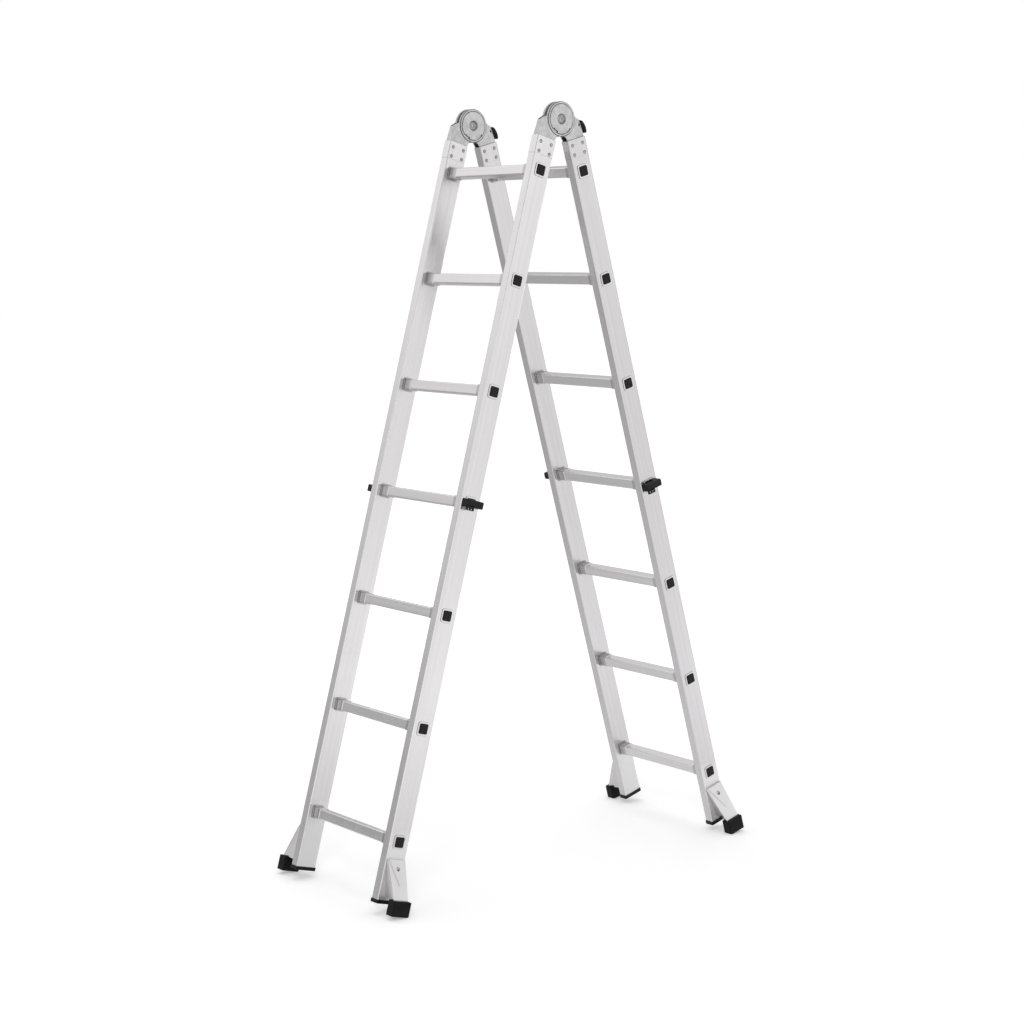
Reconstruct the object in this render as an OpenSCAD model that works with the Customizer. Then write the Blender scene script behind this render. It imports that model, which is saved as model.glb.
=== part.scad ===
// Double-sided trestle ladder with seven rungs on each leg.
// The two legs fold about a pair of pressed steel hinges with sprung pawls.
// X runs across the spread of the legs, Y along the rungs, Z up from the floor.

/* [Stance] */
// Lean of each leg from the vertical, degrees
lean = 15.7; // [14.5:0.1:17]
// Gap left between the stiles of the two legs when they are folded together
fold_gap = 8; // [7:0.5:12]

/* [Stiles] */
// Overall width of the ladder over the outer faces of the stiles
ladder_width = 380; // [340:1:460]
// Depth of the box stile, across its wide face
stile_depth = 58; // [56:1:62]
// Thickness of the box stile
stile_thick = 25; // [25:0.5:28]
// Wall of the box stile
stile_wall = 2; // [1.6:0.1:2.2]
// Outer corner radius of the box stile
stile_corner = 2.5; // [2.4:0.1:4]
// Distance from the hinge axis to the upper end of the stiles
stile_top = 58; // [56:0.5:60]
// Length of the swaged mouth that holds the hinge tongue
mouth_len = 45; // [44:1:50]
// Swell of the swaged mouth on each face
mouth_swell = 0.5; // [0.3:0.1:0.8]
// Distance from the lowest rung to the lower end of the stiles
stile_tail = 143; // [142:1:150]

/* [Rungs] */
// Number of rungs on each leg
rung_count = 7; // [7:1:7]
// Spacing of the rungs along the stile
rung_pitch = 280; // [240:1:300]
// Distance from the hinge axis to the first rung
first_rung = 140; // [135:1:160]
// Side of the square rung tube
rung_size = 28; // [26:0.5:30]
// Wall of the rung tube
rung_wall = 1.8; // [1.4:0.1:2.2]
// Corner radius of the rung tube
rung_corner = 3.5; // [3:0.1:5]
// Width of the flange turned out on the outer stile face
rung_lip = 2.8; // [1.5:0.1:3.2]
// Thickness of that flange
rung_lip_t = 1.6; // [0.8:0.1:1.8]
// Length of the bead upset against the inner stile face
rung_bead = 3; // [2:0.5:4]
// Amount that a rung plug stands out past the flange
plug_proud = 1.6; // [1:0.1:2.5]
// Depth of a rung plug inside the tube
plug_depth = 14; // [10:1:20]

/* [Feet] */
// Distance from the lowest rung to the top edge of the flared foot plate
foot_drop = 42; // [36:1:48]
// Angle at which the foot plate leaves the stile, degrees
flare_angle = 29; // [26:0.5:31]
// Distance from the stile face to the foot plate where it enters the shoe
flare_reach = 49; // [46:1:52]
// Width of the foot plate at its top edge
foot_top_w = 54; // [50:1:55]
// Width of the foot plate where it enters the shoe
foot_end_w = 43; // [38:1:44]
// Thickness of the foot plate
foot_t = 4; // [3:0.5:5]
// Length of the foot plate inside the shoe
foot_tab = 28; // [22:1:30]
// Height of the stiffening triangle pressed into the foot plate
foot_rib = 1.4; // [1:0.2:2.6]
// Length of the shoe along the depth of the stile
shoe_len = 52; // [50:0.5:56]
// Thickness of the shoe
shoe_thick = 28; // [24:0.5:32]
// Height of the shoe
shoe_height = 37; // [35:0.5:42]
// Height of the bevel on the inner edge of the sole that stands on the floor
sole_flat = 2; // [1.5:0.1:2.4]
// Thickness of the rim of a stile end cap
cap_rim = 9; // [6:0.5:10]
// Overhang of that rim past the stile
cap_over = 2; // [1:0.5:2.5]
// Depth of a stile end cap inside the stile
cap_depth = 22; // [15:1:30]

/* [Hinges] */
// Radius of the round hinge head
head_r = 43; // [42:0.5:44]
// Thickness of the pressed hinge plates
plate_t = 2.5; // [2.2:0.1:2.6]
// Clearance between the hinge tongue and the inside of the stile
tongue_fit = 0.3; // [0.2:0.05:0.4]
// Gap between hinge plates that turn past each other
plate_gap = 0.3; // [0.3:0.05:0.4]
// Radius of the hub that carries the lock disc
hub_r = 12; // [11:0.5:13]
// Radial running clearance of the hub in the rear plates
hub_play = 0.05; // [0.03:0.01:0.08]
// Radius of the pivot rivet
pivot_r = 5; // [4:0.25:6]
// Radius of the notched lock disc
lock_disc_r = 34; // [33:0.5:35]
// Depth of the lock disc notches
notch_depth = 4.5; // [4:0.25:5]
// Width of the pawl
pawl_w = 10; // [9:0.5:11]
// Travel of the pawl when the lever is pulled
pawl_travel = 4.8; // [4.5:0.1:5]
// Gap between the nose of the pawl and the lock disc
pawl_clear = 0.8; // [0.6:0.1:1]
// Width of the release lever blade
lever_w = 16; // [14:1:18]
// Thickness of the release lever blade
lever_t = 9; // [8:0.5:10]
// Radius of the lever trunnions
trunnion_r = 3; // [2.5:0.1:3.2]
// Radius of a hinge rivet shank
rivet_r = 2.4; // [2:0.1:2.8]
// Radius of a hinge rivet head
rivet_head_r = 4.8; // [4.4:0.1:5]
// Distance from the stile end to the first row of rivets
rivet_first = 14; // [13:0.5:16]
// Spacing of the two rows of rivets along the stile
rivet_rows = 24; // [22:0.5:25]
// Spacing of the two rivets in a row
rivet_span = 34; // [32:0.5:36]

/* [Rung locks] */
// Rung that carries the locks
lock_rung = 4; // [4:1:4]
// Length of the lock housing across the stile
lock_len = 53; // [50:1:55]
// Height of the lock housing along the stile
lock_h = 19; // [18.5:0.5:22]
// Drop of the housing's height, top and bottom, towards its right end
lock_taper = 0.5; // [0:0.25:2]
// Amount that the lock housing stands out from the stile
lock_out = 18.5; // [18:0.5:20]
// Wall of the lock housing
lock_wall = 3; // [2.4:0.1:3.2]
// Radius of the lock bolt
bolt_r = 5.5; // [5:0.1:6]
// Radial running clearance of the lock bolt
bolt_play = 0.05; // [0.03:0.01:0.08]
// Travel of the lock bolt
bolt_travel = 5; // [4:0.5:5.5]
// Width of the pull grip under the housing
grip_w = 22; // [20:0.5:23]
// Drop of the pull grip below the housing
grip_drop = 8; // [7:0.5:10]
// Clearance around the pull grip
grip_play = 0.6; // [0.4:0.1:0.8]

/* [Hidden] */
$fn = 64;
hull_fn = 32;
aluminium = "#c8cbcd";
zinc = "#b3b8b8";
black = "#1d1d1f";

// Places along the leg, measured down the stile from the hinge axis
leg_offset = stile_depth / 2 + fold_gap / 2;
stile_y = ladder_width / 2 - stile_thick / 2;
outer_y = ladder_width / 2;
last_rung = first_rung + (rung_count - 1) * rung_pitch;
stile_end = last_rung + stile_tail;
foot_seam = last_rung + foot_drop;
flare_drop = flare_reach / tan(flare_angle);
shoe_gap = 1.6;
// Place and seat of the rivet that pins the foot plate to the stile
foot_rivet_drop = 20;
foot_rivet_seat = 13.5;
shoe_top = foot_seam + flare_drop + shoe_gap;
sole = shoe_top + shoe_height;
// Height of the hinge axis that sets the bevels of the soles on the floor
pivot_z = sole * cos(lean) + (shoe_len / 2 - leg_offset) * sin(lean) - sole_flat;

// Rung tube and its hole in the stile
rung_bore = rung_size - 2 * rung_wall;
rung_bore_corner = rung_corner - rung_wall;
rung_hole_play = 0.05;
plug_fit = 0.1;

// Hinge layers, measured out from the middle of the stile's thickness
inner_half = stile_thick / 2 - stile_wall;
front_out = inner_half - tongue_fit;
front_in = front_out - plate_t;
rear_out = front_in - plate_gap;
rear_in = rear_out - plate_t;
disc_half = rear_in - plate_gap;
cover_out = stile_thick / 2;
tongue_half = stile_depth / 2 - stile_wall - tongue_fit;
tongue_end = stile_top + mouth_len;
wall_x = -leg_offset - tongue_half;
open_x = -leg_offset + tongue_half;
head_gap = 1;
step_w = 3;
// Top corner of the shoulder and the level where its outer edge starts to thin
corner_drop = 18;
corner_in = 6;
corner_rise = 6.5;
head_join = 3;
cheek_in = 1.5;
edge_half = 6;
panel_x = -head_r - head_gap - step_w;
// Dish pressed into the middle of a hinge cover, and the cup under it
dish_r = 13.5;
dish_floor = 8.5;
dish_depth = 4;
dish_seat = cover_out - dish_depth;
cup_r = 7.5;
cup_in = dish_seat - 2;
cup_fit = 0.3;

// Pawl and release lever in the rear half
pawl_angle = 240;
pawl_nose = lock_disc_r + pawl_clear;
pawl_link = 52;
pawl_tail = 62;
pawl_side_play = 0.15;
// Pawl spring at its shortest, and its seat
spring_solid = 7.2;
seat_r = pawl_tail + pawl_travel + spring_solid;
seat_t = 3;
lever_pin = [-leg_offset - 20, -28];
lever_root_half = 2.5;
lever_slot_play = 0.8;
lever_tip_r = 2.2;
link_at = [pawl_link * cos(pawl_angle), pawl_link * sin(pawl_angle)];
blade_centre = [-leg_offset - 4.5, -44];
blade_mid = 34.5;
blade_start = 143;
blade_sweep = 45;
// Fold angles at which the lock disc has a notch: shut, trestle, straight
notch_folds = [-2 * lean, 0, 180 - 2 * lean];

// Lock layout, measured out from the outer stile face
lock_front = lock_out - lock_wall;
lock_spring_solid = 4;
yoke_t = 2.5;
yoke_in = lock_front - lock_spring_solid - bolt_travel - yoke_t;
yoke_right = bolt_r + 3;
yoke_play = 2;
grip_t = 5;
grip_out = lock_out + 0.5;
lock_left = 25;
grip_left = -lock_left + lock_wall;
spigot_depth = 12;
bolt_tip = 14;

function rung_at(k) = first_rung + (k - 1) * rung_pitch;

// Frame of the front leg: X inwards from the front, Z up the stile, hinge axis at the origin
module on_front() {
    translate([0, 0, pivot_z])
        rotate([0, lean, 0])
            children();
}

// The rear leg is the front leg seen in a mirror
module on_rear() {
    mirror([1, 0, 0])
        on_front()
            children();
}

// Frame of the rear leg for pieces of one hand, X outwards
module on_rear_plain() {
    translate([0, 0, pivot_z])
        rotate([0, -lean, 0])
            children();
}

// Outline of a rectangle with round corners
module round_rect(w, h, r) {
    square([w - 2 * r, h], center = true);
    square([w, h - 2 * r], center = true);
    for (x = [-1, 1], y = [-1, 1])
        translate([x * (w / 2 - r), y * (h / 2 - r)])
            circle(r);
}

// Sweep an outline drawn in X and Z from y0 to y1
module slab(y0, y1) {
    translate([0, y1, 0])
        rotate([90, 0, 0])
            linear_extrude(y1 - y0)
                children();
}

// The same sweep on both sides of the middle plane
module slab_pair(y0, y1) {
    slab(y0, y1)
        children();
    slab(-y1, -y0)
        children();
}

// Round bar along Y
module bar_y(r, y0, y1) {
    translate([0, y1, 0])
        rotate([90, 0, 0])
            cylinder(r = r, h = y1 - y0);
}

// Tubular rivet along Y through a given half thickness, with a domed head on both faces
module tube_rivet(half, shank, head) {
    head_h = shank * 0.9;
    dome_r = (head * head + head_h * head_h) / (2 * head_h);
    hole_r = shank * 0.5;
    difference() {
        union() {
            bar_y(shank, -half, half);
            for (side = [-1, 1])
                intersection() {
                    translate([0, side * (half + head_h - dome_r), 0])
                        sphere(dome_r);
                    bar_y(head, side > 0 ? half : -half - head_h, side > 0 ? half + head_h : -half);
                }
        }
        bar_y(hole_r, -half - head_h - 1, half + head_h + 1);
    }
}

// Round wire coil along Z, standing on the origin
module coil(radius, wire, length, turns) {
    steps = 12 * turns;
    sides = 6;
    rise = length - wire;
    points = [
        for (i = [0 : steps], j = [0 : sides - 1])
            let (a = 360 * turns * i / steps, b = 360 * j / sides)
            let (r = radius + wire / 2 * cos(b))
            [r * cos(a), r * sin(a), wire / 2 + rise * i / steps + wire / 2 * sin(b)]
    ];
    walls = [
        for (i = [0 : steps - 1], j = [0 : sides - 1])
            let (a = i * sides + j, b = i * sides + (j + 1) % sides)
            each [[a, b + sides, b], [a, a + sides, b + sides]]
    ];
    ends = [
        [for (j = [0 : sides - 1]) j],
        [for (j = [sides - 1 : -1 : 0]) steps * sides + j]
    ];
    polyhedron(points = points, faces = concat(walls, ends), convexity = 8);
}

// Box stile with a swaged mouth, rung holes and rivet holes
module stile(side) {
    color(aluminium)
        translate([-leg_offset, side * stile_y, 0])
            difference() {
                union() {
                    translate([0, 0, -stile_end])
                        linear_extrude(stile_end - stile_top)
                            round_rect(stile_depth, stile_thick, stile_corner);
                    translate([0, 0, -tongue_end])
                        linear_extrude(mouth_len)
                            round_rect(
                                stile_depth + 2 * mouth_swell,
                                stile_thick + 2 * mouth_swell,
                                stile_corner + mouth_swell
                            );
                }
                translate([0, 0, -stile_end - 1])
                    linear_extrude(stile_end - stile_top + 2)
                        square([stile_depth - 2 * stile_wall, stile_thick - 2 * stile_wall], center = true);
                for (k = [1 : rung_count])
                    translate([0, 0, -rung_at(k)])
                        slab(-stile_thick, stile_thick)
                            round_rect(
                                rung_size + 2 * rung_hole_play,
                                rung_size + 2 * rung_hole_play,
                                rung_corner + rung_hole_play
                            );
                hinge_rivet_places()
                    bar_y(rivet_r, -stile_thick, stile_thick);
                foot_rivet_place()
                    bar_y(rivet_r, side > 0 ? 0 : -stile_thick, side > 0 ? stile_thick : 0);
            }
}

// Four rivet places in the mouth of a stile
module hinge_rivet_places() {
    for (x = [-1, 1], row = [0, 1])
        translate([x * rivet_span / 2, 0, -stile_top - rivet_first - row * rivet_rows])
            children();
}

// Place of the rivet that pins the foot plate to the stile
module foot_rivet_place() {
    translate([0, 0, -foot_seam - foot_rivet_drop])
        children();
}

// Square rung tube with turned flanges and upset beads at both stiles
module rung(k) {
    lip_size = rung_size + 2 * rung_lip;
    color(aluminium)
        translate([-leg_offset, 0, -rung_at(k)])
            difference() {
                union() {
                    slab(-outer_y - rung_lip_t, outer_y + rung_lip_t)
                        round_rect(rung_size, rung_size, rung_corner);
                    slab_pair(outer_y, outer_y + rung_lip_t)
                        round_rect(lip_size, lip_size, rung_corner + rung_lip);
                    slab_pair(outer_y - stile_thick - rung_bead, outer_y - stile_thick)
                        round_rect(lip_size, lip_size, rung_corner + rung_lip);
                }
                slab(-outer_y - 2 * rung_lip_t, outer_y + 2 * rung_lip_t)
                    round_rect(rung_bore, rung_bore, rung_bore_corner);
            }
}

// Square plug in the open end of a rung
module rung_plug(side) {
    seat = outer_y + rung_lip_t;
    head = rung_bore + 0.8;
    body = rung_bore - 2 * plug_fit;
    edge = 0.6;
    y_face = side > 0 ? [seat, seat + plug_proud - edge] : [-seat - plug_proud + edge, -seat];
    y_crown = side > 0 ? [seat, seat + plug_proud] : [-seat - plug_proud, -seat];
    y_body = side > 0 ? [seat - plug_depth, seat] : [-seat, -seat + plug_depth];
    slab(y_face[0], y_face[1])
        round_rect(head, head, rung_corner);
    slab(y_crown[0], y_crown[1])
        round_rect(head - 2 * edge, head - 2 * edge, rung_corner - edge);
    slab(y_body[0], y_body[1])
        round_rect(body, body, rung_bore_corner);
}

module rung_plugs() {
    color(black)
        for (k = [1 : rung_count], side = [-1, 1])
            if (k != lock_rung)
                translate([-leg_offset, 0, -rung_at(k)])
                    rung_plug(side);
}

// Thin caps that close the lower ends of the stiles
module stile_end_caps() {
    rim_w = stile_depth + 2 * cap_over;
    rim_h = stile_thick + 2 * cap_over;
    plug_w = stile_depth - 2 * stile_wall - 2 * plug_fit;
    plug_h = stile_thick - 2 * stile_wall - 2 * plug_fit;
    color(black)
        for (side = [-1, 1])
            translate([-leg_offset, side * stile_y, -stile_end]) {
                translate([0, 0, -cap_rim])
                    linear_extrude(cap_rim)
                        round_rect(rim_w, rim_h, stile_corner + cap_over);
                difference() {
                    linear_extrude(cap_depth)
                        square([plug_w, plug_h], center = true);
                    translate([0, 0, stile_wall])
                        linear_extrude(cap_depth)
                            square([plug_w - 2 * stile_wall, plug_h - 2 * stile_wall], center = true);
                }
            }
}

// Frame at a foot: Y outwards from the outer stile face, Z up, top edge of the plate at the origin
module at_foot(side) {
    mirror([0, side > 0 ? 0 : 1, 0])
        translate([-leg_offset, outer_y, -foot_seam])
            children();
}

// Bent plate, drawn as its side view
module foot_section() {
    polygon([
        [0, 0],
        [foot_t / cos(flare_angle), 0],
        [flare_reach + foot_t, -flare_drop + foot_t * tan(flare_angle / 2)],
        [flare_reach + foot_t, -flare_drop - foot_tab],
        [flare_reach, -flare_drop - foot_tab],
        [flare_reach, -flare_drop]
    ]);
}

// Sweep a side view drawn in Y and Z along X, centred
module along_x(w) {
    rotate([90, 0, 90])
        linear_extrude(w, center = true)
            children();
}

// Triangular flange along one edge of the foot plate, leaning in to its root on the stile
module foot_flange() {
    flange_t = 2.5;
    root_in = 13;
    root_end = flare_drop + 6;
    weld = 1.5;
    edge_in = (foot_top_w - foot_end_w) / 2;
    root_turn = atan((edge_in + root_in) / flare_drop);
    tip_out = flare_drop * sin(root_turn) - edge_in * cos(root_turn);
    tip_down = flare_drop * cos(root_turn) + edge_in * sin(root_turn);
    tip_reach = norm([tip_out, flare_reach]);
    translate([-foot_top_w / 2 + flange_t / 2, 0, 0])
        rotate([0, -root_turn, 0])
            rotate([0, 0, atan(tip_out / flare_reach)])
                along_x(flange_t)
                    polygon([[-weld, 0], [weld, 0], [tip_reach + weld, -tip_down], [-weld, -root_end]]);
}

// Flared foot plate with a flange along each edge and a pressed triangle
module foot_plate(side) {
    rib_top = 3;
    rib_tip = 68;
    rib_half = foot_top_w / 2 - 3;
    end_z = -flare_drop - foot_tab;
    color(aluminium)
        at_foot(side)
            difference() {
                union() {
                    intersection() {
                        union() {
                            along_x(foot_top_w)
                                foot_section();
                            foot_flange();
                            mirror([1, 0, 0])
                                foot_flange();
                        }
                        slab(0, flare_reach + 2 * foot_t)
                            polygon([
                                [-foot_top_w / 2, 0],
                                [-foot_end_w / 2, -flare_drop],
                                [-foot_end_w / 2, end_z],
                                [foot_end_w / 2, end_z],
                                [foot_end_w / 2, -flare_drop],
                                [foot_top_w / 2, 0]
                            ]);
                    }
                    rotate([flare_angle, 0, 0])
                        slab(foot_t / 2, foot_t + foot_rib)
                            polygon([[-rib_half, -rib_top], [rib_half, -rib_top], [0, -rib_tip]]);
                }
                translate([0, 0, -foot_rivet_drop]) {
                    bar_y(rivet_r, -1, flare_reach);
                    bar_y(rivet_head_r + 0.2, foot_rivet_seat, flare_reach);
                }
            }
}

// Rivet through the foot plate and the outer wall of the stile
module foot_rivets() {
    head_h = 2;
    tail_h = 1.6;
    color(zinc)
        for (side = [-1, 1])
            at_foot(side)
                translate([0, 0, -foot_rivet_drop]) {
                    bar_y(rivet_r, -stile_wall - tail_h, foot_rivet_seat);
                    bar_y(rivet_head_r, foot_rivet_seat, foot_rivet_seat + head_h);
                    bar_y(rivet_head_r - 0.6, -stile_wall - tail_h, -stile_wall);
                }
}

// Block shoe on the end of the foot plate, before its sole is cut to the floor
module shoe_block() {
    corner = 4;
    slot_play = 0.1;
    mid_y = flare_reach + foot_t / 2;
    bottom_z = foot_seam - sole;
    groove_w = 2.4;
    groove_d = 2;
    groove_pitch = 8;
    difference() {
        translate([0, mid_y, bottom_z])
            linear_extrude(shoe_height)
                round_rect(shoe_len, shoe_thick, corner);
        translate([
            -foot_end_w / 2 - slot_play,
            flare_reach - slot_play,
            -flare_drop - foot_tab - slot_play
        ])
            cube([foot_end_w + 2 * slot_play, foot_t + 2 * slot_play, foot_tab + 2 * slot_play]);
        for (i = [-2 : 2])
            translate([i * groove_pitch - groove_w / 2, mid_y - shoe_thick, bottom_z - groove_d])
                cube([groove_w, 2 * shoe_thick, 2 * groove_d]);
    }
}

// Everything below the floor, cut from the soles
module below_floor() {
    reach = 2 * pivot_z;
    translate([-reach, -reach, -reach])
        cube([2 * reach, 2 * reach, reach]);
}

module front_shoe(side) {
    color(black)
        difference() {
            on_front()
                at_foot(side)
                    shoe_block();
            below_floor();
        }
}

module rear_shoe(side) {
    color(black)
        difference() {
            on_rear()
                at_foot(side)
                    shoe_block();
            below_floor();
        }
}

// Frame at a hinge, with the middle of the stile's thickness at Y zero
module at_hinge(side) {
    translate([0, side * stile_y, 0])
        children();
}

// Outline of a hinge half below its round head: tongue and shoulder
module shoulder_outline() {
    polygon([
        [wall_x, -tongue_end],
        [wall_x, -corner_drop],
        [wall_x + corner_in, -corner_drop + corner_rise],
        [-sqrt(head_r * head_r - head_join * head_join), -head_join],
        [0, -head_join],
        [-cheek_in, -head_r / 2],
        [-cheek_in, -head_r - head_gap],
        [open_x, -stile_top],
        [open_x, -tongue_end]
    ]);
}

// Part of the shoulder that stays at full thickness
module flat_shoulder_outline() {
    difference() {
        shoulder_outline();
        translate([wall_x - 1, -stile_top])
            square([panel_x - wall_x + 1, stile_top]);
    }
}

// Sloping panel that thins the shoulder towards its top corner
module sloped_panel() {
    tiny = 0.5;
    panel_drop = 4;
    hull() {
        translate([wall_x, front_in, -stile_top])
            cube([panel_x - wall_x + tiny, plate_t, tiny]);
        translate([panel_x, front_in, -stile_top])
            cube([tiny, plate_t, stile_top - head_join - panel_drop]);
        translate([wall_x, edge_half - plate_t, -corner_drop])
            cube([tiny, plate_t, tiny]);
        translate([wall_x + corner_in, edge_half - plate_t, -corner_drop + corner_rise - tiny])
            cube([tiny, plate_t, tiny]);
    }
}

// Closed outer side of a hinge half, thinning with the panels
module outer_wall() {
    translate([wall_x + plate_t / 2, 0, 0])
        along_x(plate_t)
            polygon([
                [-front_out, -tongue_end],
                [-front_out, -stile_top],
                [-edge_half, -corner_drop],
                [edge_half, -corner_drop],
                [front_out, -stile_top],
                [front_out, -tongue_end]
            ]);
}

module hinge_rivet_holes() {
    translate([-leg_offset, 0, 0])
        hinge_rivet_places()
            bar_y(rivet_r, -stile_thick, stile_thick);
}

// Front half of a hinge: two outer plates joined by the outer wall
module hinge_front_half(side) {
    color(zinc)
        at_hinge(side)
            difference() {
                union() {
                    slab_pair(front_in, front_out) {
                        circle(head_r);
                        flat_shoulder_outline();
                    }
                    sloped_panel();
                    mirror([0, 1, 0])
                        sloped_panel();
                    outer_wall();
                }
                bar_y(hub_r, -stile_thick, stile_thick);
                hinge_rivet_holes();
            }
}

// Ring around the hinge axis
module ring(r0, r1) {
    difference() {
        circle(r1);
        circle(r0);
    }
}

// Outline of a hinge half outside a radius
module shoulder_beyond(r) {
    difference() {
        flat_shoulder_outline();
        circle(r);
    }
}

// Frame along the pawl: X outwards from the hinge axis
module along_pawl() {
    rotate([0, -pawl_angle, 0])
        children();
}

// Rear half of a hinge: inner head plates, stepped out to the shoulder, with pawl guides and spring seat
module hinge_rear_half(side) {
    step_r = head_r + head_gap;
    guide_t = 4;
    guide_in = pawl_w / 2 + pawl_side_play;
    color(zinc)
        at_hinge(side)
            difference() {
                union() {
                    slab_pair(rear_in, rear_out) {
                        circle(head_r);
                        intersection() {
                            flat_shoulder_outline();
                            circle(step_r + step_w);
                        }
                    }
                    slab_pair(rear_in, front_out)
                        intersection() {
                            flat_shoulder_outline();
                            ring(step_r, step_r + step_w);
                        }
                    slab_pair(front_in, front_out)
                        shoulder_beyond(step_r);
                    sloped_panel();
                    mirror([0, 1, 0])
                        sloped_panel();
                    outer_wall();
                    along_pawl() {
                        slab(-front_out, front_out)
                            translate([step_r, guide_in])
                                square([pawl_tail - step_r, guide_t]);
                        slab(-front_out, front_out)
                            translate([step_r, -guide_in - guide_t])
                                square([step_w, guide_t]);
                        slab(-front_out, front_out)
                            translate([seat_r, -pawl_w / 2])
                                square([seat_t, pawl_w]);
                    }
                }
                bar_y(hub_r + hub_play, -stile_thick, stile_thick);
                hinge_rivet_holes();
                translate([lever_pin[0], 0, lever_pin[1]])
                    bar_y(trunnion_r + hub_play, -stile_thick, stile_thick);
                translate([
                    wall_x - plate_t,
                    -lever_root_half - lever_slot_play,
                    lever_pin[1] - lever_t
                ])
                    cube([3 * plate_t, 2 * (lever_root_half + lever_slot_play), stile_top]);
            }
}

// Pressed cover discs on both sides of a hinge, each with a bead, a dished centre and two slots
module hinge_cover() {
    bead_r = 3.5;
    bead_at = head_r - 3;
    bead_level = cover_out - bead_r;
    face_r = bead_at - 3;
    groove = 0.9;
    slot_in = face_r - 4;
    slot_w = 4.6;
    slot_sweep = 28;
    slot_turn = 36;
    difference() {
        rotate_extrude()
            difference() {
                union() {
                    translate([pivot_r, front_out])
                        square([face_r - pivot_r, cover_out - front_out]);
                    polygon([
                        [pivot_r, cup_in],
                        [cup_r, cup_in],
                        [hub_r - cup_fit, front_out],
                        [pivot_r, front_out]
                    ]);
                    intersection() {
                        translate([bead_at, bead_level])
                            circle(bead_r);
                        translate([face_r - 1, front_out])
                            square([3 * bead_r, cover_out]);
                    }
                }
                translate([face_r, cover_out])
                    circle(groove);
                polygon([
                    [0, cover_out + 1],
                    [0, dish_seat],
                    [dish_floor, dish_seat],
                    [dish_r, cover_out],
                    [dish_r, cover_out + 1]
                ]);
            }
        for (turn = [-1, 1])
            rotate([0, 0, 90 - lean + turn * slot_turn - slot_sweep / 2])
                rotate_extrude(angle = slot_sweep)
                    translate([slot_in, 0])
                        square([slot_w, 2 * cover_out]);
    }
}

module hinge_covers(side) {
    color(zinc)
        at_hinge(side)
            for (face = [-1, 1])
                mirror([0, face > 0 ? 1 : 0, 0])
                    rotate([90, 0, 0])
                        mirror([0, 1, 0])
                            hinge_cover();
}

// Pivot rivet with a domed head in the dish of each cover
module hinge_pivot(side) {
    head = 6.5;
    seat = dish_seat;
    head_h = 2.4;
    dome_r = (head * head + head_h * head_h) / (2 * head_h);
    dimple_r = 2.2;
    dimple_d = 1.2;
    color(zinc)
        at_hinge(side)
            difference() {
                union() {
                    bar_y(pivot_r, -seat, seat);
                    for (face = [-1, 1])
                        intersection() {
                            translate([0, face * (seat + head_h - dome_r), 0])
                                sphere(dome_r);
                            bar_y(head, face > 0 ? seat : -seat - head_h, face > 0 ? seat + head_h : -seat);
                        }
                }
                for (face = [-1, 1])
                    translate([0, face * (seat + head_h), 0])
                        bar_y(dimple_r, -dimple_d, dimple_d);
            }
}

// Notched disc on a cupped hub, keyed to the front half
module lock_disc(side) {
    // A notch faces the pawl of the rear half at each fold angle
    pawl_world = 180 - pawl_angle + lean;
    color(zinc)
        at_hinge(side)
            difference() {
                union() {
                    bar_y(lock_disc_r, -disc_half, disc_half);
                    bar_y(hub_r, -front_out, front_out);
                }
                bar_y(pivot_r, -stile_thick, stile_thick);
                for (turn = [-90, 90])
                    rotate([turn, 0, 0])
                        rotate_extrude()
                            polygon([
                                [0, cup_in - cup_fit],
                                [cup_r + cup_fit, cup_in - cup_fit],
                                [hub_r + cup_fit, front_out - cup_fit],
                                [hub_r + cup_fit, stile_thick],
                                [0, stile_thick]
                            ]);
                for (fold = notch_folds)
                    rotate([0, -(pawl_world + lean + fold), 0])
                        slab(-stile_thick, stile_thick)
                            translate([lock_disc_r - notch_depth, -pawl_w / 2 - pawl_side_play])
                                square([notch_depth + 1, pawl_w + 2 * pawl_side_play]);
            }
}

// Sliding pawl with a fork for the lever tip
module pawl(side) {
    fork = lever_tip_r + 1.6;
    nose_in = 1.5;
    color(zinc)
        at_hinge(side)
            along_pawl()
                difference() {
                    slab(-disc_half, disc_half)
                        polygon([
                            [pawl_nose, -pawl_w / 2 + nose_in],
                            [pawl_nose + 2 * nose_in, -pawl_w / 2],
                            [pawl_tail, -pawl_w / 2],
                            [pawl_tail, pawl_w / 2],
                            [pawl_nose + 2 * nose_in, pawl_w / 2],
                            [pawl_nose, pawl_w / 2 - nose_in]
                        ]);
                    slab(-lever_root_half - lever_slot_play, lever_root_half + lever_slot_play)
                        translate([pawl_link - fork, -pawl_w])
                            square([2 * fork, pawl_w + fork]);
                }
}

// Spring that pushes the pawl towards the lock disc
module pawl_spring(side) {
    seat_gap = 0.2;
    color(zinc)
        at_hinge(side)
            along_pawl()
                translate([pawl_tail + seat_gap, 0, 0])
                    rotate([0, 90, 0])
                        coil(3.4, 1.2, seat_r - pawl_tail - 2 * seat_gap, 4);
}

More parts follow.
